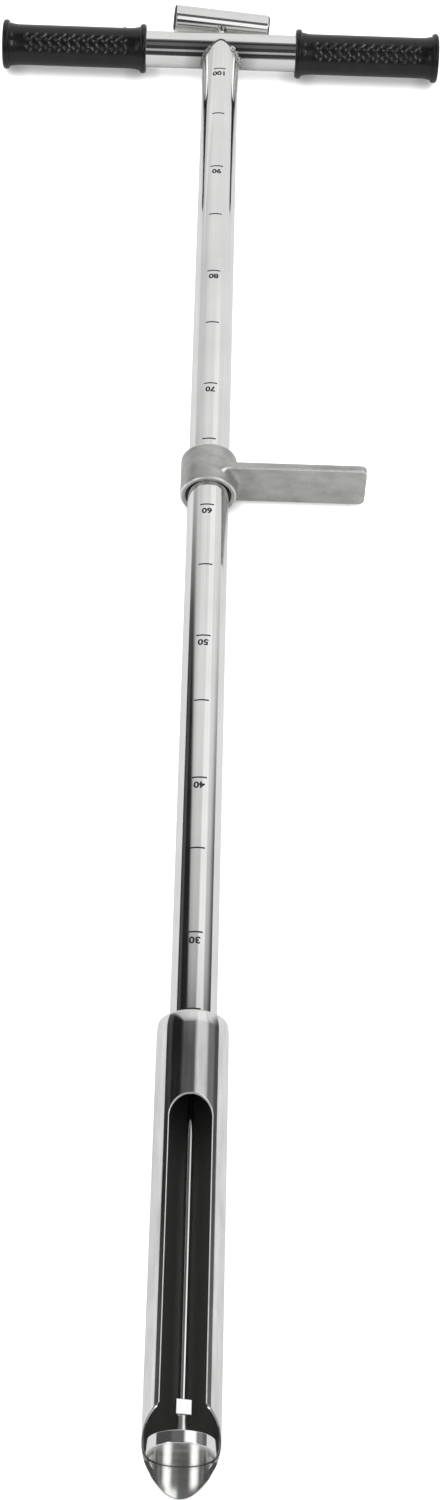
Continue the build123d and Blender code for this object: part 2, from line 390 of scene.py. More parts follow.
# a darker copy of the weld for the left side, a painted shade
shadedWeld = oxideFinish("shadedWeld", 0.1, 0.36)
# the toggle's ends: near-black and matt, a painted shade
shadedEnd = oxideFinish("shadedEnd", 0.03, 0.08, metal=0.0, shine=0.1)
castSteel = castFinish()
blackRubber = rubberFinish("blackRubber", 0.2, 0.3, 0.32)
smoothRubber = rubberFinish("smoothRubber", 0.05, 0.08, 1.0)
# sawn and deburred slot edges: pale and frosted, faint scratches across the wall
slotRim = plainFinish("slotRim", (300, 1400, 300), (0.85, 0.847, 0.84), (0.94, 0.937, 0.93),
                      rough=(0.34, 0.5), detail=3.0, metal=0.3, bump=(0.06, 0.0002))
# edges of the casting, rubbed bright, their paler colour partly wear and partly a painted highlight
wornEdgeHighlight = plainFinish("wornEdgeHighlight", 600.0, (0.7, 0.698, 0.69), (0.88, 0.877, 0.87),
                       rough=(0.28, 0.4), metal=0.7, bump=(0.04, 0.0002))
# tops of the grip's bars, rubbed smooth, and grey in places as a painted highlight along the crests
rubbedCrestSheen = plainFinish("rubbedCrestSheen", 420.0, (0.014, 0.014, 0.0143), (0.17, 0.17, 0.173),
                           rough=(0.18, 0.26), detail=3.0, stops=(0.44, 0.7))
# etched marks: dark grey, rough, slightly uneven
etchedMark = plainFinish("etchedMark", 2200.0, (0.012, 0.012, 0.0125), (0.04, 0.04, 0.041),
                         rough=(0.45, 0.7), detail=3.0, stops=(0.3, 0.75), shine=0.2)
print("materials ready")


# sampling tube: a C-shaped wall section carried from the tip to the end of the slot, then a full ring
tube = {"outer": 19.0, "bore": 17.0, "length": 237.0, "slotHalf": 11.15, "slotInside": 10.85,
        "slotEnd": 184.85, "mouth": 21.0, "mouthAngle": 48.0, "frostFrom": 35.5, "darkRimTo": 15.0,
        "edge": 0.3, "edgeMost": 0.8,                 # rounding of the edges, largest share of a half width
        "tongueEdge": 49.3, "tongueJoin": 4.0,        # degrees from the underside where nose and mouth meet
        "tongueBlend": (7.5, 11.5),
        "tongueThin": 1.3, "tongueThinTo": 14.0,      # ground off the outside at the tip
        "lipThin": 1.0, "lipWidth": 4.0,              # ground off the inside along the mouth
        "lipFrom": (13, 20), "lipTo": (34, 50),
        "nose": ((0, 0), (6.6, 0), (11.4, 4.9), (20.0, 15.9)), "noseSteps": 400,
        "around": 144, "edgeSteps": 5, "mouthRows": 90, "mouthCrowd": 1.1, "straightRows": 13, "endRows": 39,
        "ringRow": 215.0}


def noseStation(x):
    # station of the rounded nose at half-width x, from its Bezier outline in plan
    t = np.linspace(0, 1, tube["noseSteps"])
    w = np.stack([(1 - t) ** 3, 3 * t * (1 - t) ** 2, 3 * t * t * (1 - t), t ** 3])
    outline = np.asarray(tube["nose"], float).T @ w
    return np.interp(x, outline[0], outline[1])


def ground(s):
    # outside radius at a station, and the inside radius at the mouth's edge
    return (tube["outer"] - tube["tongueThin"] * (1 - smooth(0, tube["tongueThinTo"], s)),
            tube["bore"] + tube["lipThin"] * smooth(*tube["lipFrom"], s) * (1 - smooth(*tube["lipTo"], s)))


def slottedTube():
    # each row is a section at a station, open at the top by the angle where the nose, the slanting mouth, the
    # straight slot or its round end cuts the wall: outside arc, rounded edge, inside arc, rounded edge
    ro, ri = tube["outer"], tube["bore"]
    slope = np.tan(tube["mouthAngle"] * rad)
    slotAngle = np.pi - np.arcsin(tube["slotHalf"] / ro)
    slotInner = np.pi - np.arcsin(tube["slotInside"] / ri)
    # half the section's angle, measured from the underside, against the station
    a = np.linspace(0, 1, tube["mouthRows"]) ** tube["mouthCrowd"] * slotAngle
    cut = tube["mouth"] - ro * np.cos(a) / slope
    join = smooth(tube["tongueEdge"] - tube["tongueJoin"], tube["tongueEdge"] + tube["tongueJoin"], a / rad)
    halfWidth = ro * np.sin(np.minimum(a, np.pi / 2))
    mouthS = noseStation(halfWidth) * (1 - join) + cut * join
    outside, lip = ground(mouthS)
    mouthOut = np.where(a < np.pi / 2, np.arcsin(np.minimum(halfWidth / outside, 1)), a)
    # inner edge: the tongue is cut straight down, the mouth along the slanting plane
    noseIn = np.arcsin(np.minimum(halfWidth / lip, 1))
    planeIn = np.arccos(np.clip(-(mouthS - tube["mouth"]) * slope / lip, -1, 1))
    mouthIn = noseIn + smooth(*tube["tongueBlend"], mouthS) * (np.minimum(planeIn, slotInner) - noseIn)
    straightS = np.linspace(mouthS[-1], tube["slotEnd"], tube["straightRows"] + 1)[1:]
    psi = np.linspace(0, np.pi / 2, tube["endRows"] + 1)[1:]
    endS = tube["slotEnd"] + tube["slotHalf"] * np.sin(psi)
    endOut = np.pi - np.arcsin(tube["slotHalf"] * np.cos(psi) / ro)
    endIn = np.pi - np.arcsin(tube["slotInside"] * np.cos(psi) / ri)
    station = np.concatenate([mouthS, straightS, endS])[:, None]
    outer = np.concatenate([mouthOut, np.full_like(straightS, slotAngle), endOut])[:, None]
    inner = np.concatenate([mouthIn, np.full_like(straightS, slotInner), endIn])[:, None]
    # the edge rounding shrinks where the section closes
    edge = np.minimum(tube["edge"], tube["edgeMost"] * ro * np.minimum(outer, np.pi - outer))
    around, steps = tube["around"], tube["edgeSteps"]
    t = np.linspace(-1, 1, around + 1)[None, :]
    q = np.linspace(0, np.pi / 2, steps + 1)[None, :]
    outside, lip = ground(station)
    backOut, backIn = outer - edge / ro, inner - edge / ri
    fromEdge = (1 - np.abs(t)) * backIn * ri
    outArc = (t * backOut, outside + 0 * t)
    rimOut = (backOut + (outer - backOut) * np.sin(q[:, 1:]), outside - edge * (1 - np.cos(q[:, 1:])))
    rimIn = (backIn + (inner - backIn) * np.cos(q[:, :-1]), lip + edge * (1 - np.sin(q[:, :-1])))
    inArc = (t[:, ::-1] * backIn, lip + (ri - lip) * smooth(0, tube["lipWidth"], fromEdge))
    angle = np.concatenate([outArc[0], rimOut[0], rimIn[0], inArc[0],
                            -rimIn[0][:, ::-1], -rimOut[0][:, ::-1]], 1)
    radius = np.concatenate([outArc[1], rimOut[1], rimIn[1], inArc[1],
                             rimIn[1][:, ::-1], rimOut[1][:, ::-1]], 1)
    cols = np.arange(angle.shape[1])
    boreFrom = around + 2 * steps
    inside = (cols >= boreFrom) & (cols <= boreFrom + around)
    # the slot's rims are frosted further in; near the tip they take the dark oxide, a painted shade
    rimFinishes = np.where(station[1:] > tube["frostFrom"], 2, np.where(station[1:] < tube["darkRimTo"], 3, 0))
    finish = np.where(inside, 1, np.where(cols >= around, rimFinishes, 0))
    wall = grid(onShaft(radius, angle, station), wrapCols=True, finish=finish)
    # ring above the slot: outside, end face and bore, as one strip round the shaft
    foot, row, top = endS[-1], tube["ringRow"], tube["length"]
    ring = np.array([[foot, ro], [row, ro], [top, ro], [top, ri], [row, ri], [foot, ri]])
    collar = grid(onShaft(ring[:, 1:], t * np.pi, ring[:, :1]), finish=np.array([0, 0, 0, 1, 1])[:, None])
    return makePiece("slottedTube", [wall, collar], [tubeSteel, tubeBore, slotRim, oxideAndShade], "frame",
                     ["sampling_tube"])


slottedTube()
print("sampling tube done")


# shoulder dome and shaft
shoulder = {"foot": 225.0, "start": tube["length"], "top": 244.6, "head": 260.6, "crown": 0.6, "corner": 1.4,
            "spigot": 16.95, "neck": 10.45, "bore": 2.58}
shaft = {"outer": 12.5, "bore": 10.5, "start": shoulder["top"], "barStation": 1028.0, "mitre": 12.8,
         "rows": (0, 0.2, 0.4, 0.6, 0.8, 0.95, 1.0)}


def shoulderDome():
    # plug profile, turned: spigot, slightly crowned side tangent to the tube, rounded corner, flat shoulder,
    # neck and bore
    rise, c = shoulder["top"] - shoulder["start"], shoulder["corner"]
    r = (rise ** 2 + shoulder["crown"] ** 2) / (2 * shoulder["crown"])
    bend = np.degrees(np.arcsin((rise - c) / (r - c)))
    cornerR = tube["outer"] - r + (r - c) * np.cos(bend * rad)
    crown = arc((shoulder["start"], tube["outer"] - r), r, 90, 90 - bend, 16)
    corner = arc((shoulder["top"] - c, cornerR), c, 90 - bend, 0, 12)[1:]
    profile = np.concatenate([
        [[shoulder["foot"], shoulder["bore"]], [shoulder["foot"], shoulder["spigot"]],
         [shoulder["start"], shoulder["spigot"]]], crown, corner,
        [[shoulder["top"], shoulder["neck"]], [shoulder["head"], shoulder["neck"]],
         [shoulder["head"], shoulder["bore"]]]])
    return makePiece("shoulderDome", [grid(turned(held(profile)), True, True)], [tubeSteel], "frame",
                     ["shoulder_plug"])


def shaftTube():
    # tube from the shoulder up to the crossbar; its upper end follows the crossbar's round
    a = fullTurn()
    w = np.array(shaft["rows"])[:, None]

    def wall(r, share):
        end = shaft["barStation"] - np.sqrt(shaft["mitre"] ** 2 - (r * np.cos(a)) ** 2)
        return onShaft(r, a, shaft["start"] + (end - shaft["start"]) * share)

    points = np.concatenate([wall(shaft["outer"], w), wall(shaft["bore"], w[::-1])])
    return makePiece("shaftTube", [grid(points, True, True)], [shaftSteel], "frame",
                     ["shaft_tube"])


shoulderDome()
shaftTube()
print("dome and shaft done")


# crossbar, the same stock as the shaft, drilled for the ejector rod
bar = {"outer": shaft["outer"], "bore": shaft["bore"], "half": 149.6, "hole": 2.8, "rim": 0.25,
       "columns": 96, "sideRows": 7, "patch": 5, "patchRows": 7, "patchCrowd": 1.3}


def handleBar():
    # tube along X; the two rod holes are patches that run from a circle out to a square of the main grid
    count, n, ends = bar["columns"], bar["patch"], bar["sideRows"]
    step = 2 * np.pi / count
    size = n * step * bar["outer"]
    xs = np.concatenate([np.linspace(-bar["half"], -size, ends + 1)[:-1], np.linspace(-size, size, 2 * n + 1),
                         np.linspace(size, bar["half"], ends + 1)[1:]])
    a = np.arange(count) * step                      # from the tip side, over the top, to the far side

    def onBar(x, angle, r):
        x, angle = np.broadcast_arrays(x, angle)
        return np.stack([x, -r * np.cos(angle) + shaft["barStation"] + tipY, axisZ + r * np.sin(angle)], -1)

    keep = np.ones((len(xs) - 1, count), bool)
    rows = slice(ends, ends + 2 * n)
    around = np.arange(-n, n)
    for middle in (0, count // 2):
        keep[rows, (middle + around) % count] = False
    patches = [grid(onBar(xs[:, None], a[None, :], r), wrapCols=True, keep=keep)
               for r in (bar["outer"], bar["bore"])]
    for x in (-bar["half"], bar["half"]):
        patches.append(grid(np.stack([onBar(x, a, bar["outer"]), onBar(x, a, bar["bore"])]), wrapCols=True))
    side = around / n
    flat = np.ones_like(side)
    squareX = np.concatenate([side, flat, -side, -flat]) * size
    squareA = np.concatenate([-flat, side, flat, -side]) * n * step
    ring = np.arctan2(np.sin(squareA) * bar["outer"], squareX)
    share = np.linspace(0, 1, bar["patchRows"])[:, None] ** bar["patchCrowd"]
    for middle in (0.0, np.pi):
        edges = []
        for r, gap in ((bar["outer"], bar["rim"]), (bar["bore"], 0.0)):
            hole = bar["hole"] + gap
            startX = hole * np.cos(ring)
            startA = np.arcsin(hole * np.sin(ring) / r)
            x = startX + (squareX - startX) * share
            angle = startA + (squareA - startA) * share
            patches.append(grid(onBar(x, angle + middle, r), wrapCols=True))
            edges.append(onBar(x[0], angle[0] + middle, r))
        holeA = np.arcsin(bar["hole"] * np.sin(ring) / bar["outer"])
        inner = onBar(bar["hole"] * np.cos(ring), holeA + middle, bar["outer"] - bar["rim"])
        patches.append(grid(np.stack([edges[0], inner, edges[1]]), wrapCols=True))
    return makePiece("handleBar", patches, [barSteel], "frame", ["crossbar"])


handleBar()
print("crossbar done")


# weld beads along the two sides of the mitre, angles in degrees up from the shaft's side;
# full is where a bead starts, is full, begins to shrink and is thin
welds = {"full": (-58, -46, 46, 62), "thin": 0.62, "darkFrom": 56.0, "end": 91.0, "runOut": 1.5,
         "mean": 0.88, "most": 1.06, "lumpSpan": 55.0, "lumpTwist": 0.5, "rows": 171, "sides": 28,
         # size, then height, half waves to the span and phase of its lumps
         "left": (1.6, ((0.13, 9.0, 0.4), (0.09, 17.0, 1.9))),
         "right": (2.2, ((0.28, 6.5, 2.2), (0.14, 13.0, 0.3)))}


def handleWeld(name, side, bead, steel, node):
    # round bead carried along the shaft's mitred edge; it swells and thins along the way, and runs out over
    # the top of the joint as a thin dark line
    low, lowFull, highFull, high = welds["full"]
    wide, lumps = bead
    a = np.linspace(low, welds["end"], welds["rows"])[:, None] * rad
    q = fullTurn(welds["sides"])
    r, n = shaft["outer"], shaft["mitre"]
    depth = np.sqrt(n ** 2 - (r * np.sin(a)) ** 2)
    path = np.stack([-r * np.cos(a), -depth, r * np.sin(a)], -1)
    along = np.stack([r * np.sin(a), r * r * np.sin(a) * np.cos(a) / depth, r * np.cos(a)], -1)
    along /= np.linalg.norm(along, axis=-1, keepdims=True)
    corner = np.array([1.0, -1.0, 0.0])
    across = corner - (along @ corner)[..., None] * along
    across /= np.linalg.norm(across, axis=-1, keepdims=True)
    out = np.cross(along, across)
    t = np.pi * a / (welds["lumpSpan"] * rad)
    swell = welds["mean"] + sum(h * np.sin(f * t + p + welds["lumpTwist"] * np.cos(q)) for h, f, p in lumps)
    body = 1 - smooth(highFull * rad, high * rad, a)
    size = wide * np.minimum(swell, welds["most"]) * body + welds["thin"] * (1 - body)
    start = np.clip((a - a[0]) / ((lowFull - low) * rad), 0, 1)
    stop = np.clip((a[-1] - a) / (welds["runOut"] * rad), 0, 1)
    size = size * np.sqrt(start * stop)
    points = path + size[..., None] * (np.cos(q)[..., None] * across + np.sin(q)[..., None] * out)
    points = points * np.array([-side, 1, 1]) + np.array([0, shaft["barStation"] + tipY, axisZ])
    darkLine = (a[1:] > welds["darkFrom"] * rad).astype(int)
    return makePiece(name, [grid(points, wrapCols=True, finish=darkLine)], [steel, oxideAndShade], "frame",
                     [node], sharp=60)


# the left weld takes the darker copy, a painted shade
handleWeld("weldLeft", -1, welds["left"], shadedWeld, "left_handle_weld")
handleWeld("weldRight", 1, welds["right"], weldSteel, "right_handle_weld")
print("welds done")


# rubber grips: turned sleeve with rounded flanges, short slanted bars in a panel facing up and forwards
grips = {"outerEnd": 153.6, "length": 101.0, "body": 13.9, "bore": 12.55, "endWall": 4.0,
         "flange": 16.9, "flangeWidth": 4.6, "flangeRim": 1.9, "blend": 8.0,
         "rubbed": ((1.6, 3.2), (19, 55)),              # thumb patches: from the flange, degrees from the top
         "panelTurn": 41.0, "panelEdge": 0.3,
         "panel": {-1: (15.0, 13.4), 1: (12.5, 12.6)},  # its left and right hand margins on either grip
         "pitch": 6.62, "barHeight": 0.7, "barWidth": 1.0, "barFlank": 0.8, "crest": 0.74,
         # bars of the panel: middle along, middle across, half length along and across, share of the height
         "bars": ((2.0, -4.7, -0.8, 0.9, 1.0), (2.7, -1.6, 0.35, 0.35, 0.92), (5.4, 1.5, 0.65, 1.1, 1.0),
                  (5.2, 5.3, -0.5, 0.6, 0.92), (5.5, -2.4, -0.7, 0.8, 0.86), (2.0, 3.6, 0.6, 0.7, 0.86)),
         # mould nub: from the inner end, degrees from the top, half width, height
         "nub": (15.5, -37.0, 0.9, 0.5),
         # degrees from the top between which the columns are close, how many there and elsewhere, rows
         "close": (-46, 96), "closeColumns": 157, "wideColumns": 49, "bodyRows": 304,
         "boreRow": 1.0, "endRows": (11.0, 5.0)}


def barRelief(along, across):
    # height of the nearest bar, here or in the repeats on either side: a rounded ridge that falls off
    # with the distance to the bar's middle line
    height = np.zeros(np.broadcast(along, across).shape)
    pitch = grips["pitch"]
    for u, c, du, dc, share in grips["bars"]:
        for turn in (-1, 0, 1):
            x = (along - u + pitch / 2) % pitch - pitch / 2 + turn * pitch
            y = across - c
            w = np.clip((x * du + y * dc) / (du * du + dc * dc), -1, 1)
            d = np.hypot(x - w * du, y - w * dc) / grips["barWidth"]
            height = np.maximum(height, np.clip(1 - d * d, 0, 1) ** grips["barFlank"] * share)
    return height * grips["barHeight"]


def rubberGrip(name, side, node):
    # profile turned about the crossbar's axis: flange, hollow blend, body, blend, flange, closed end, bore;
    # the bars and the nub are added to the radius of the body
    g = grips
    end, start = g["outerEnd"], g["outerEnd"] - g["length"]
    foot = g["flange"] - g["flangeRim"]
    back = start + g["flangeWidth"]
    rise = foot - g["body"]
    sweep = (g["blend"] ** 2 + rise ** 2) / (2 * rise)
    bend = np.degrees(np.arcsin(g["blend"] / sweep))
    inner = np.concatenate([
        [[start, g["bore"]], [start, g["bore"] + g["boreRow"]]],
        arc((start + g["flangeRim"], foot), g["flangeRim"], 180, 90, 8),
        arc((back - g["flangeRim"], foot), g["flangeRim"], 90, 0, 8),
        arc((back + g["blend"], g["body"] + sweep), sweep, 270 - bend, 270, 12)])
    outer = np.stack([start + end - inner[::-1, 0], inner[::-1, 1]], -1)[:-2]
    body = np.linspace(inner[-1, 0], outer[0, 0], g["bodyRows"])[1:-1]
    body = np.stack([body, np.full_like(body, g["body"])], -1)
    closing = np.array([[end, row] for row in (*g["endRows"], 0.0)]
                       + [[end - g["endWall"], row] for row in (0.0, g["bore"])])
    profile = np.concatenate([inner, body, outer, closing])
    # angle from the top towards the tip side, close together where the panel is
    upper, lower = g["close"]
    turnA = np.concatenate([np.linspace(upper, lower, g["closeColumns"], endpoint=False),
                            np.linspace(lower, upper + 360, g["wideColumns"], endpoint=False)])[None, :] * rad
    x = profile[:, :1] * side
    r = profile[:, 1:] + 0 * turnA
    left, right = g["panel"][side]
    low, high = sorted((side * start, side * end))
    low, high = low + left, high - right
    soft = g["panelEdge"]
    panel = smooth(low - soft, low + soft, x) * (1 - smooth(high - soft, high + soft, x))
    onBody = np.zeros((len(profile), 1))
    onBody[len(inner):len(inner) + len(body)] = 1
    relief = onBody * panel * barRelief(x - low, (turnA - g["panelTurn"] * rad) * g["body"])
    r = r + relief
    # the bars' crests take the rubbed finish, its grey partly a painted highlight
    finish = (relief > g["crest"] * g["barHeight"]).astype(int)
    # patches rubbed smooth by the thumbs, at the foot of either flange
    fromMiddle = np.abs(np.abs(x[:-1] + x[1:]) / 2 - (start + end) / 2)
    fromFlange = g["length"] / 2 - g["flangeWidth"] - fromMiddle
    (nearest, furthest), (upper, lower) = g["rubbed"]
    thumb = (fromFlange > nearest) & (fromFlange < furthest) & (turnA > upper * rad) & (turnA < lower * rad)
    finish[:-1][thumb] = 2
    if side < 0:
        reach, at, wide, tall = g["nub"]
        away = np.hypot(x + start + reach, (turnA - at * rad) * g["body"]) / wide
        r = r + onBody * tall * np.exp(-away ** 2)
    y = shaft["barStation"] + tipY - r * np.sin(turnA)
    points = np.stack([x + 0 * turnA, y, axisZ + r * np.cos(turnA)], -1)
    return makePiece(name, [grid(points, wrapRows=True, wrapCols=True, finish=finish)],
                     [blackRubber, rubbedCrestSheen, smoothRubber], "frame", [node], sharp=50)


rubberGrip("gripLeft", -1, "left_grip")
rubberGrip("gripRight", 1, "right_grip")
print("grips done")


# foot pedal: loose ring with a tread plate, hollow blend at the root
pedal = {"station": 612.5, "length": 28.5, "bore": 14.1, "outer": 17.2, "edge": 1.0, "boreEdge": 0.6,
         "centre": 17.7, "plateAt": 12.9, "half": 2.5, "height": 15.5, "reach": 96.6, "corner": 4.0,
         "blend": 3.5, "round": 0.9,
         "sunk": 1.2, "rootMost": 15.4,           # depth of the root in the ring, its greatest half height
         "edgeSteps": 6, "faceColumns": 49,
         "shares": (0, 0.18, 0.93, 1), "shareRows": (25, 11, 15)}     # rows close at the root and at the end


def footPedal():
    # ring: a profile with rounded rims, turned; plate: a section with rounded edges carried outwards from the
    # ring's wall, its half thickness swelling along a circle where it comes near the ring
    p = pedal
    low, high = p["station"], p["station"] + p["length"]
    e, b, n = p["edge"], p["boreEdge"], p["edgeSteps"] + 1
    ringProfile = np.concatenate([
        [[low + b, p["bore"]], [low, p["bore"] + b]],
        arc((low + e, p["outer"] - e), e, 180, 90, n), arc((high - e, p["outer"] - e), e, 90, 0, n),
        [[high, p["bore"] + b], [high - b, p["bore"]]]])
    # the ring's rims take the worn edge: partly wear, partly a painted highlight
    wornAndHighlit = np.ones((len(ringProfile), 1), int)
    wornAndHighlit[[1, 1 + n, 1 + 2 * n, 3 + 2 * n]] = 0     # the two end faces, the outside and the bore stay as cast
    ring = grid(turned(ringProfile, height=p["centre"]), True, True, finish=wornAndHighlit)
    # section of the plate as one loop: front face and long edge, then the same turned over
    rr = p["round"]
    q = np.linspace(0, np.pi / 2, n)[1:-1]
    face = np.linspace(-1, 1, p["faceColumns"])
    quarter = np.ones(n - 1)
    halves = (np.concatenate([face, quarter, quarter]),
              np.concatenate([0 * face, np.sin(q), [1, 1], np.cos(q)]),
              np.concatenate([-np.ones_like(face), -quarter, quarter]))
    zFlat, zRound, ySide = (np.concatenate([half, -half])[None, :] for half in halves)
    yRound = np.tile(np.concatenate([np.ones_like(face), np.cos(q), [0, 0], np.sin(q)]), 2)[None, :]
    rows = np.cumsum((0, *p["shareRows"]))
    share = np.interp(np.arange(rows[-1] + 1), rows, p["shares"])[:, None]
    top = np.linspace(0, np.pi / 2, n)[1:, None]
    rim = np.concatenate([np.ones_like(share), np.cos(top)])
    rootZ = np.minimum(np.abs(zFlat) * (p["height"] - rr) + rr * np.abs(zRound), p["rootMost"])
    x0 = np.sqrt((p["outer"] - p["sunk"]) ** 2 - rootZ ** 2)
    x = x0 + (p["reach"] - rr - x0) * np.concatenate([share, np.ones_like(top)])
    x = x + rr * np.concatenate([0 * share, np.sin(top)])
    over = np.clip(x - (p["reach"] - p["corner"]), 0, p["corner"])
    half = p["height"] - p["corner"] + np.sqrt(np.maximum(p["corner"] ** 2 - over ** 2, 0))
    z = zFlat * (half - rr) + rr * zRound * rim
    gap = np.clip(p["outer"] + p["blend"] - np.hypot(x, z), 0, p["blend"])
    thick = p["half"] + p["blend"] - np.sqrt(p["blend"] ** 2 - gap ** 2)
    y = ySide * (thick - rr + rr * yRound * rim)
    flatY = np.zeros_like(y[:1])
    x, z = (np.concatenate([v[:1], v, v[-1:]]) for v in (x, z))
    y = np.concatenate([flatY, y, flatY])
    # the roundings along the front edge of the plate are worn too, and paler as a painted highlight
    cols = np.arange(z.shape[1])
    last = len(face) - 1
    front = (cols >= last) & (cols < last + n - 1) | (cols >= len(cols) - n)
    points = np.stack([x, y + p["station"] + p["plateAt"] + tipY, z + p["centre"]], -1)
    plate = grid(points, wrapCols=True, finish=front.astype(int)[None, :])
    return makePiece("footPedal", [ring, plate], [castSteel, wornEdgeHighlight], "pedal", ["foot_pedal"],
                     sharp=42)


footPedal()
print("pedal done")


# ejector: piston, rod, square nut, toggle bar and its weld
piston = {"at": 15.25, "top": 21.55, "radius": 16.7, "edge": 0.45, "web": 17.65, "bore": 2.58,
          "boss": 3.7, "bossTop": 33.35, "bossBlend": 0.8, "bossEdge": 0.3, "faceRows": (5, 11), "near": 0.02,
          "darkUnder": 0.2}                            # cosine of the angle from the underside


def ejectorPiston():
    # disc with softened rims and a drilled boss, turned; the end face is left satin
    p = piston
    e, r, b, c = p["edge"], p["radius"], p["bossBlend"], p["bossEdge"]
    profile = held(np.concatenate([
        [[p["at"], row] for row in (0, *p["faceRows"])],
        arc((p["at"] + e, r - e), e, 180, 90, 6), arc((p["top"] - e, r - e), e, 90, 0, 6),
        arc((p["top"] + b, p["boss"] + b), b, 180, 270, 6),
        arc((p["bossTop"] - c, p["boss"] - c), c, 90, 0, 4),
        [[p["bossTop"], p["bore"]], [p["web"], p["bore"]], [p["web"], 0]]]))
    s = profile[1:, :1]
    finish = np.where(s < p["at"] + p["near"], 1, np.where(s > p["top"] + p["near"], 2, 0))
    # the rim of the face is darker on its underside, where it meets the tongue
    onRim = (s > p["at"] + p["near"]) & (s < p["at"] + e + p["near"])
    finish = np.where(onRim & (np.cos(fullTurn()) > p["darkUnder"]), 3, finish)
    return makePiece("ejectorPiston", [grid(turned(profile), wrapCols=True, finish=finish)],
                     [turnedSteel, facedSteel, bossSteel, oxideAndShade], "piston",
                     ["ejector_piston"])


rod = {"radius": 2.5, "foot": 17.75, "head": 1060.8, "rows": (300, 700), "sides": 48}


def ejectorRod():
    # straight round bar, closed at both ends
    r, foot, head = rod["radius"], rod["foot"], rod["head"]
    profile = [[foot, 0], *([s, r] for s in (foot, *rod["rows"], head)), [head, 0]]
    return makePiece("ejectorRod", [grid(turned(profile, rod["sides"]), wrapCols=True)], [rodSteel],
                     "ejector", ["ejector_rod"])


nut = {"at": 33.45, "length": 7.6, "half": 4.0, "corner": 0.4, "edge": 0.35, "bore": 2.55, "turn": 11.0,
       "hold": 0.08}                                    # distance of the held points from a corner's arc


def lockNut():
    # square section with four corner arcs, turned a little about the rod, with softened ends and a round bore
    e, c, h = nut["edge"], nut["corner"], nut["half"]
    low, high = nut["at"], nut["at"] + nut["length"]
    side = held(np.concatenate([arc((low + e, h - e), e, 180, 90, 5), arc((high - e, h - e), e, 90, 0, 5)]))
    q = np.linspace(0, np.pi / 2, 7)
    # one corner, with a held point on each side of its arc
    out = np.concatenate([[c], c * np.cos(q), [-nut["hold"]]])
    u = side[:, 1:] - c + out
    v = side[:, 1:] - c + out[::-1]
    x = np.concatenate([u, -v, -u, v], 1)
    z = np.concatenate([v, u, -v, -u], 1)
    reach = np.hypot(x[-1:], z[-1:])
    x = np.concatenate([x, np.repeat(x[-1:] / reach * nut["bore"], 2, 0)])
    z = np.concatenate([z, np.repeat(z[-1:] / reach * nut["bore"], 2, 0)])
    station = np.concatenate([side[:, 0], [high, low]])[:, None]
    turn = nut["turn"] * rad
    points = np.stack([x * np.cos(turn) + z * np.sin(turn), station + tipY + 0 * x,
                       axisZ - x * np.sin(turn) + z * np.cos(turn)], -1)
    return makePiece("lockNut", [grid(points, True, True)], [turnedSteel], "ejector",
                     ["lock_nut"], sharp=45)


toggle = {"at": 1058.9, "radius": 9.1, "half": 34.0, "edge": 1.8, "shadedBand": 1.1, "turn": 5.8,
          "faceRow": 4.0, "middleRow": 10.0, "sides": 128}


def toggleBar():
    # short solid bar with rounded ends, turned about its own axis, which leans by the toggle's turn
    e, r, h = toggle["edge"], toggle["radius"], toggle["half"]
    face, middle = toggle["faceRow"], toggle["middleRow"]
    profile = held(np.concatenate([
        [[-h, 0], [-h, face]], arc((-h + e, r - e), e, 180, 90, 9), [[-middle, r], [middle, r]],
        arc((h - e, r - e), e, 90, 0, 9), [[h, face], [h, 0]]]))
    a = fullTurn(toggle["sides"])
    lean = toggle["turn"] * rad
    u, q = profile[:, :1], profile[:, 1:]
    y, w = q * np.cos(a), q * np.sin(a)
    points = np.stack([u * np.cos(lean) + w * np.sin(lean), y + toggle["at"] + tipY,
                       axisZ - u * np.sin(lean) + w * np.cos(lean)], -1)
    # the ends take a near-black matt finish, a painted shade
    shadedBand = (np.abs(u[1:] + u[:-1]) > 2 * (h - toggle["shadedBand"])).astype(int)
    return makePiece("toggleBar", [grid(points, wrapCols=True, finish=shadedBand)], [toggleSteel, shadedEnd],
                     "ejector", ["ejector_handle"])


# bead under the toggle bar; lumps are height, number round the rod and phase
toggleBead = {"reach": 2.6, "wide": 0.92, "long": 0.95, "sunk": 0.9, "hollow": 0.45, "head": 1.0,
              "skin": 0.05, "core": 0.06, "lumps": ((0.10, 5, 0.6), (0.08, 9, 2.0)), "rows": 14, "sides": 72}


def toggleWeld():
    # lumpy hollow cone round the rod under the toggle bar, its head sunk in the bar
    b = toggleBead
    a = fullTurn(b["sides"])
    t = np.linspace(0, 1, b["rows"])[:, None]
    lump = 1 + t * sum(h * np.sin(f * a + p) for h, f, p in b["lumps"])
    hollow = 1 - b["hollow"] * np.sqrt(1 - t ** 2) - (1 - b["hollow"]) * (1 - t)
    r = rod["radius"] - b["skin"] + b["reach"] * b["wide"] * hollow * lump
    s = toggle["at"] - toggle["radius"] - b["reach"] * b["long"] * (1 - t) + b["sunk"] * t ** 3
    core = np.full_like(a, rod["radius"] - b["core"])
    r = np.concatenate([r, core, core])
    s = np.concatenate([s, s[-1:] + b["head"], s[:1]])
    points = np.stack([r * np.sin(a), s + tipY + 0 * a, axisZ + r * np.cos(a)], -1)
    return makePiece("toggleWeld", [grid(points, True, True)], [weldSteel], "ejector",
                     ["ejector_weld"], sharp=60)


ejectorPiston()
ejectorRod()
lockNut()
toggleBar()
toggleWeld()
print("ejector done")


# depth scale: etched ticks every five centimetres and plain numbers every ten
scale = {"first": 30, "last": 100, "step": 10, "cm": 10.0, "offset": -5.5, "half": 46.6,
         "turn": -2.34, "lift": 0.04,
         "tickWidth": 8.5, "tickThick": 1.1, "tickTop": 0.85, "tickFoot": -0.12, "tickColumns": 25,
         "clear": 1.5, "digit": 4.4, "stretch": 1.12, "bold": 0.036, "gap": 2.9, "depth": 0.12,
         "curveSteps": 3, "longest": 0.12}              # outline points, longest edge as a share of the type


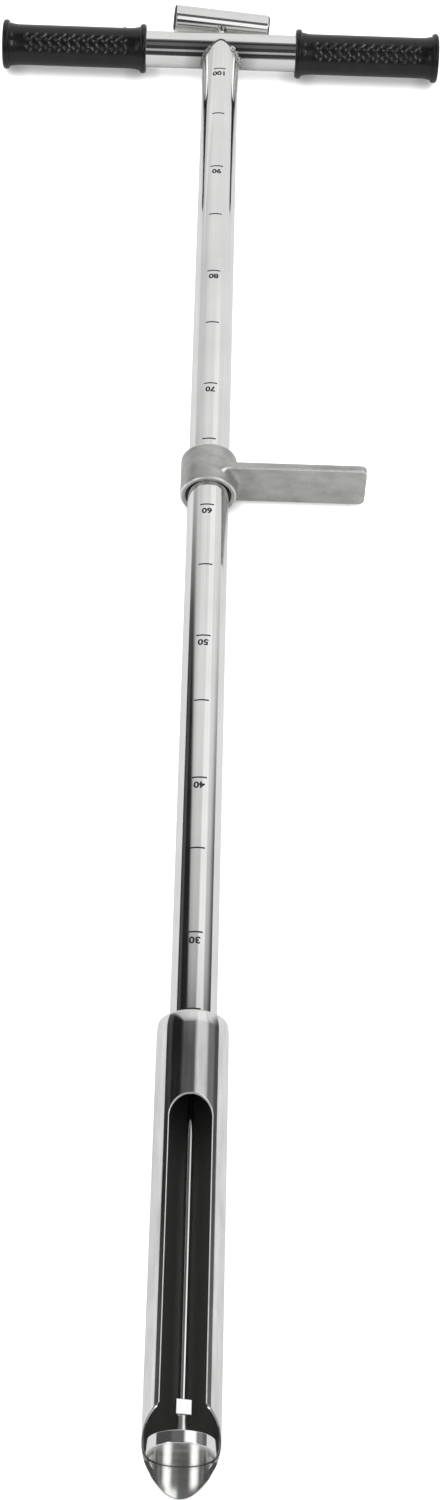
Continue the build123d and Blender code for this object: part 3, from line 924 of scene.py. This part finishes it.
def wrapOnShaft(x, s, lift):
    # flat marks bent round the shaft: the sideways distance becomes an arc
    a = scale["turn"] * rad + x / shaft["outer"]
    r = shaft["outer"] + lift
    return np.stack([r * np.sin(a), s + tipY, axisZ + r * np.cos(a)], -1)


def depthTicks():
    # low strips bent round the shaft, a flat top between sloping sides, closed at both ends
    marks = np.arange(scale["first"], scale["last"] + 1, scale["step"]) * scale["cm"] + scale["offset"]
    marks = np.concatenate([marks, marks - scale["half"]])
    marks = marks[marks > shaft["start"] + scale["clear"]]
    w, h = scale["tickWidth"] / 2, scale["tickThick"] / 2
    top, foot = h * scale["tickTop"], scale["tickFoot"]
    t = np.linspace(-1, 1, scale["tickColumns"])[None, :]
    # section of a strip: foot, top edge, top edge, foot and back along the underside
    across = np.array([-h, -top, top, h, -h])[:, None]
    lift = np.array([foot, scale["lift"], scale["lift"], foot, foot])[:, None]
    strips = []
    for mark in marks:
        points = wrapOnShaft(t * w + 0 * across, mark + across + 0 * t, lift + 0 * t)
        middle = points[:4].mean(0)
        caps = [np.repeat(middle[i][None, None], len(across), 0) for i in (0, -1)]
        strips.append(grid(np.concatenate([caps[0], points, caps[1]], 1)))
    return makePiece("depthTicks", strips, [etchedMark], "frame", sharp=60)


def depthNumbers():
    # built-in font, filled flat, made a mesh and bent round the shaft; digit tops point to the tip
    points, faces = [], []
    count = 0
    for number in range(scale["first"], scale["last"] + 1, scale["step"]):
        curve = bpy.data.curves.new(f"mark{number}", "FONT")
        curve.body = str(number)
        curve.size = 1.0
        curve.offset = scale["bold"]
        curve.resolution_u = scale["curveSteps"]
        curve.align_x = "CENTER"
        flat = bpy.data.objects.new(f"mark{number}", curve)
        mesh = bpy.data.meshes.new_from_object(flat)
        shell = bmesh.new()
        shell.from_mesh(mesh)
        bmesh.ops.remove_doubles(shell, verts=shell.verts, dist=1e-5)
        bmesh.ops.triangulate(shell, faces=shell.faces)
        long = [e for e in shell.edges if e.calc_length() > scale["longest"]]
        bmesh.ops.subdivide_edges(shell, edges=long, cuts=2)
        bmesh.ops.triangulate(shell, faces=shell.faces)
        shell.to_mesh(mesh)
        shell.free()
        co = np.zeros(len(mesh.vertices) * 3)
        mesh.vertices.foreach_get("co", co)
        co = co.reshape(-1, 3)
        tri = np.zeros(len(mesh.polygons) * 3, np.int32)
        mesh.polygons.foreach_get("vertices", tri)
        size = scale["digit"] / (co[:, 1].max() - co[:, 1].min())
        s = number * scale["cm"] + scale["offset"] - scale["gap"] - (co[:, 1] - co[:, 1].min()) * size
        points.append(wrapOnShaft(-co[:, 0] * size * scale["stretch"], s, scale["lift"]) * mm)
        faces.append(tri.reshape(-1, 3) + count)
        count += len(co)
        bpy.data.objects.remove(flat)
        bpy.data.meshes.remove(mesh)
        bpy.data.curves.remove(curve)
    mesh = bpy.data.meshes.new("depthNumbers")
    mesh.from_pydata(np.concatenate(points), [], np.concatenate(faces))
    mesh.materials.append(etchedMark)
    piece = addObject("depthNumbers", mesh)
    thicken = piece.modifiers.new("etchDepth", "SOLIDIFY")
    thicken.thickness = scale["depth"] * mm
    thicken.offset = -1
    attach(piece, "frame")
    return piece


depthTicks()
depthNumbers()
print("depth scale done")


# stage, in metres: white floor, soft light, and the room that the polish mirrors
def flatFace(name, xs, ys, z, material):
    # level rectangle from its four corners
    mesh = bpy.data.meshes.new(name)
    mesh.from_pydata([(xs[0], ys[0], z), (xs[1], ys[0], z), (xs[1], ys[1], z), (xs[0], ys[1], z)], [],
                     [(0, 1, 2, 3)])
    mesh.materials.append(material)
    return addObject(name, mesh)


paper = {"size": 8.0, "drop": 0.0004, "tone": 0.86, "vary": 0.01, "stops": (0.2, 0.8), "grain": 300.0,
         "rough": 0.9, "glow": 0.85, "gloss": 0.1,
         "contact": 0.012, "contactFade": (0.22, 0.72)}     # reach of the shading under the object


def whiteFloor():
    # paper sweep, white to the camera; its glow thins out where the object stands close, a painted contact
    # shadow
    finish = Finish("whitePaper")
    tones = [(paper["tone"] + change,) * 3 for change in (-paper["vary"], paper["vary"])]
    fibres = finish.grain(paper["grain"], 2.0)
    finish.feed("Base Color", finish.colours(fibres, list(zip(paper["stops"], tones))))
    finish.fix(Roughness=paper["rough"])
    finish.fix(**{"Specular IOR Level": 0.0, "Emission Color": (1, 1, 1, 1)})
    path = finish.add("ShaderNodeLightPath")
    seen = finish.sums("MAXIMUM", path.outputs["Is Camera Ray"], path.outputs["Is Transmission Ray"])
    mirrored = finish.sums("MULTIPLY", path.outputs["Is Glossy Ray"], paper["gloss"])
    both = finish.sums("MAXIMUM", seen, mirrored)
    near = finish.add("ShaderNodeAmbientOcclusion", samples=8)
    near.inputs["Distance"].default_value = paper["contact"]
    openness = finish.levels(near.outputs["AO"], 0.0, paper["glow"], *paper["contactFade"])
    finish.feed("Emission Strength", finish.sums("MULTIPLY", both, openness))
    half = paper["size"] / 2
    floor = flatFace("floor", (-half, half), (-half, half), -paper["drop"], finish.material)


# the room by direction, in degrees: azimuth from beyond the handle, height, roll about the shaft from
# overhead, lean from overhead towards the camera, and far, the angle to the line of the shaft beyond the
# handle; a ramp is where it starts and ends and its level there, if not 0 and 1, a band is where it starts
# and ends, its softness and its level
room = {"wallSlant": 0.17, "wallLeft": (-54, -47), "wallShade": (-42, -20, 0.736, 0.92),
        "wallRight": (56, 86), "wallCorner": (48, 58, 0.0, 0.78), "wallEnd": (60, 64, 1.0, 0.4),
        "wallFade": (52, 66, 1.0, 0.3), "wallTop": (60, 61.5, 1.0, 0.0),
        "panelFrom": (2, 18, 0.0, 1.1), "panelTo": (42, 58, 1.0, 0.0), "panelStart": (36, 46),
        "panelEnd": (0, 8, 1.0, 0.0), "panelDip": (60, 64.5, 1.5, 0.25), "panelRise": (64, 69, 1.0, 1.3),
        "panelFall": (73, 81, 1.0, 0.5),
        "overhead": (73, 81, 0.07, 0.24), "overheadLeft": (-40, -26), "overheadNear": (-4, 4),
        "overheadDip": (-9, 5, 2, 0.85), "overheadDim": (-6, 4, 1.0, 0.55),
        "overheadBack": (24, 28, 1.0, 0.2),
        "side": (46, 73, 6, 0.13), "sideEnd": (-12, -4, 1.0, 0.0),
        "low": (66, 80, 3, 0.07), "lowLeft": (-62, -50, 2, 0.07), "lowHeight": (4, 18, 3, 1.0), "dark": 0.02,
        "near": (48, 61, 3, 0.55),
        "right": (30, 57, 2.5, 1.3), "rightFrom": (6, 10), "rightTo": (28, 34, 1.0, 0.0),
        "pair": (98, 119, 4, 2.0), "pairRoll": (31, 59, 4, 1.0),
        "tubes": (78, 128, 3, 2.4), "tubesRoll": (38, 50, 2, 1.0),
        "rear": (116, 126), "rearRoll": (20, 78, 5, 0.45),
        "fill": 0.74}                                       # even light for the matt surfaces


def studioWorld():
    # white to the camera, even fill for matt surfaces; the polish sees a light wall beyond the handle with a
    # brighter panel running overhead on the right, dark to the left, and light strips on the camera's side
    world = bpy.data.worlds.new("studio")
    bpy.context.scene.world = world
    world.use_nodes = True
    graph = Graph(world.node_tree)
    graph.nodes.clear()
    maths = graph.sums

    def ramp(value, low, high, start=0.0, end=1.0):
        node = graph.add("ShaderNodeMapRange", interpolation_type="SMOOTHSTEP")
        graph.links.new(value, node.inputs["Value"])
        for key, number in zip(("From Min", "From Max", "To Min", "To Max"), (low, high, start, end)):
            node.inputs[key].default_value = number
        return node.outputs["Result"]

    def product(*values):
        total = values[0]
        for value in values[1:]:
            total = maths("MULTIPLY", total, value)
        return total

    def band(value, low, high, soft, level):
        return product(ramp(value, low - soft, low + soft), ramp(value, high - soft, high + soft, level, 0.0))

    def degrees(operation, *values):
        return maths("DIVIDE", maths(operation, *values), rad)

    def without(share):
        return maths("SUBTRACT", 1.0, share)

    coords = graph.add("ShaderNodeTexCoord")
    split = graph.add("ShaderNodeSeparateXYZ")
    graph.links.new(coords.outputs["Generated"], split.inputs[0])
    x, y, z = split.outputs
    azimuth = degrees("ARCTAN2", x, y)
    height = degrees("ARCSINE", z)
    roll = degrees("ARCTAN2", x, z)
    lean = degrees("ARCTAN2", maths("MULTIPLY", y, -1.0), z)
    far = degrees("ARCCOSINE", y)
    r = room
    leftEdge = maths("SUBTRACT", azimuth, maths("MULTIPLY", height, r["wallSlant"]))
    wall = product(ramp(leftEdge, *r["wallLeft"]), ramp(azimuth, *r["wallShade"]),
                   without(product(ramp(roll, *r["wallRight"]), ramp(far, *r["wallCorner"]))),
                   ramp(azimuth, *r["wallEnd"]), ramp(far, *r["wallFade"]), ramp(far, *r["wallTop"]))
    panel = product(ramp(roll, *r["panelFrom"]), ramp(roll, *r["panelTo"]), ramp(far, *r["panelStart"]),
                    ramp(lean, *r["panelEnd"]), without(band(far, *r["panelDip"])),
                    ramp(far, *r["panelRise"]), ramp(far, *r["panelFall"]))
    # ceiling: dark with a paler middle, darker again straight above and behind the camera
    ceiling = product(ramp(far, *r["overhead"]),
                      maths("MAXIMUM", ramp(roll, *r["overheadLeft"]), ramp(lean, *r["overheadNear"])),
                      without(band(lean, *r["overheadDip"])), ramp(lean, *r["overheadDim"]),
                      ramp(lean, *r["overheadBack"]))
    side = product(band(roll, *r["side"]), ramp(lean, *r["sideEnd"]))
    low = maths("ADD", band(far, *r["low"]),
                product(band(azimuth, *r["lowLeft"]), band(height, *r["lowHeight"])))
    # lights on the camera's side: a low strip, a panel to the right of it, one further out on either hand
    # with a thin tube light along its middle, and the pale room behind them
    sideways = maths("ABSOLUTE", roll)
    strips = [band(lean, *r["near"]),
              product(band(lean, *r["right"]), ramp(roll, *r["rightFrom"]), ramp(roll, *r["rightTo"])),
              product(band(far, *r["pair"]), band(sideways, *r["pairRoll"])),
              product(band(far, *r["tubes"]), band(sideways, *r["tubesRoll"])),
              product(ramp(far, *r["rear"]), band(sideways, *r["rearRoll"]))]
    light = maths("ADD", maths("ADD", ceiling, side), maths("ADD", low, r["dark"]))
    for part in (*strips, wall, panel):
        light = maths("MAXIMUM", light, part)
    path = graph.add("ShaderNodeLightPath")
    seen = maths("MAXIMUM", path.outputs["Is Camera Ray"], path.outputs["Is Transmission Ray"])
    mirrored = maths("MULTIPLY", path.outputs["Is Glossy Ray"], light)
    unseen = without(maths("MAXIMUM", seen, path.outputs["Is Glossy Ray"]))
    matt = maths("MULTIPLY", unseen, r["fill"])
    background = graph.add("ShaderNodeBackground")
    background.inputs["Color"].default_value = (1, 1, 1, 1)
    graph.links.new(maths("ADD", seen, maths("ADD", mirrored, matt)), background.inputs["Strength"])
    output = graph.add("ShaderNodeOutputWorld")
    graph.links.new(background.outputs[0], output.inputs["Surface"])


# height above the shaft's axis, edges measured beyond the crossbar's axis, half the width, light
cardboard = {"up": 0.078, "near": 0.0165, "far": 0.11, "half": 0.26,
             "level": 0.95, "vary": 0.02, "grain": 12.0}


def handleCard():
    # white card over the far side of the handle, seen only in the polish
    finish = Finish("whiteCard")
    cloth = finish.grain(cardboard["grain"], 2.0)
    level, change = cardboard["level"], cardboard["vary"]
    finish.feed("Emission Strength", finish.levels(cloth, level - change, level + change))
    finish.fix(**{"Base Color": (0, 0, 0, 1), "Specular IOR Level": 0.0, "Emission Color": (1, 1, 1, 1)})
    half = cardboard["half"]
    ys = [(shaft["barStation"] + tipY) * mm + cardboard[edge] for edge in ("near", "far")]
    card = flatFace("handleCard", (-half, half), ys, axisZ * mm + cardboard["up"], finish.material)
    card.visible_camera = card.visible_diffuse = card.visible_shadow = card.visible_transmission = False


lampHood = {"level": 0.68, "size": 3.0, "height": 2.2}


def softLamp():
    # large soft lamp overhead for the matt surfaces and the shadow; its level is how bright its face is
    light = bpy.data.lights.new("softLamp", "AREA")
    light.size = lampHood["size"]
    light.energy = lampHood["level"] * np.pi * light.size ** 2
    lamp = addObject("softLamp", light)
    lamp.location = (0, 0, lampHood["height"])
    lamp.visible_glossy = False


# place in metres, turn in degrees about X, Y and Z
view = {"place": (-0.005009, -0.918582, 1.157897), "turn": (35.288, -1.56, 1.061),
        "lens": 59.19, "sensorHeight": 36.0, "clipStart": 0.01}


def photoCamera():
    # camera fitted to the photograph
    data = bpy.data.cameras.new("photoCamera")
    data.sensor_fit = "VERTICAL"
    data.sensor_height = view["sensorHeight"]
    data.lens = view["lens"]
    data.clip_start = view["clipStart"]
    camera = addObject("photoCamera", data)
    camera.location = view["place"]
    camera.rotation_euler = [a * rad for a in view["turn"]]
    bpy.context.scene.camera = camera


whiteFloor()
studioWorld()
handleCard()
softLamp()
photoCamera()
bpy.context.scene.view_settings.view_transform = "Standard"
print("stage done")
